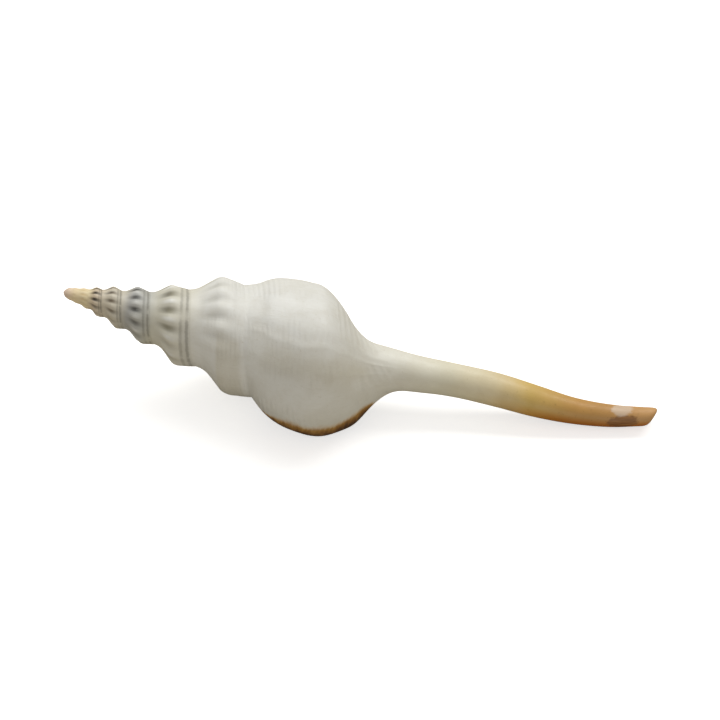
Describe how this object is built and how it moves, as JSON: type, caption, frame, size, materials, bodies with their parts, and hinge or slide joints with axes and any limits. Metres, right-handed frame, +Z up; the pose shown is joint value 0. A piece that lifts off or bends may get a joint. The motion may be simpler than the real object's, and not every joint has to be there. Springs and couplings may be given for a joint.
{
  "type": "spindle shell",
  "caption": "Long spindle shell lying on its aperture, with a tapering noduled spire, a smooth rounded body whorl and a long slender siphonal canal",
  "frame": {"origin": "on the surface the shell lies on, under the middle of its box", "axes": "+Z up; +X runs along the shell from the tip of the spire to the end of the canal; the edge of the outer lip is on the -Y side, touching the surface"},
  "size_m": [0.1493, 0.036, 0.0315],
  "materials": {
    "shell": "satin"
  },
  "bodies": {
    "root": {"shell": "shell"}
  },
  "joints": []
}
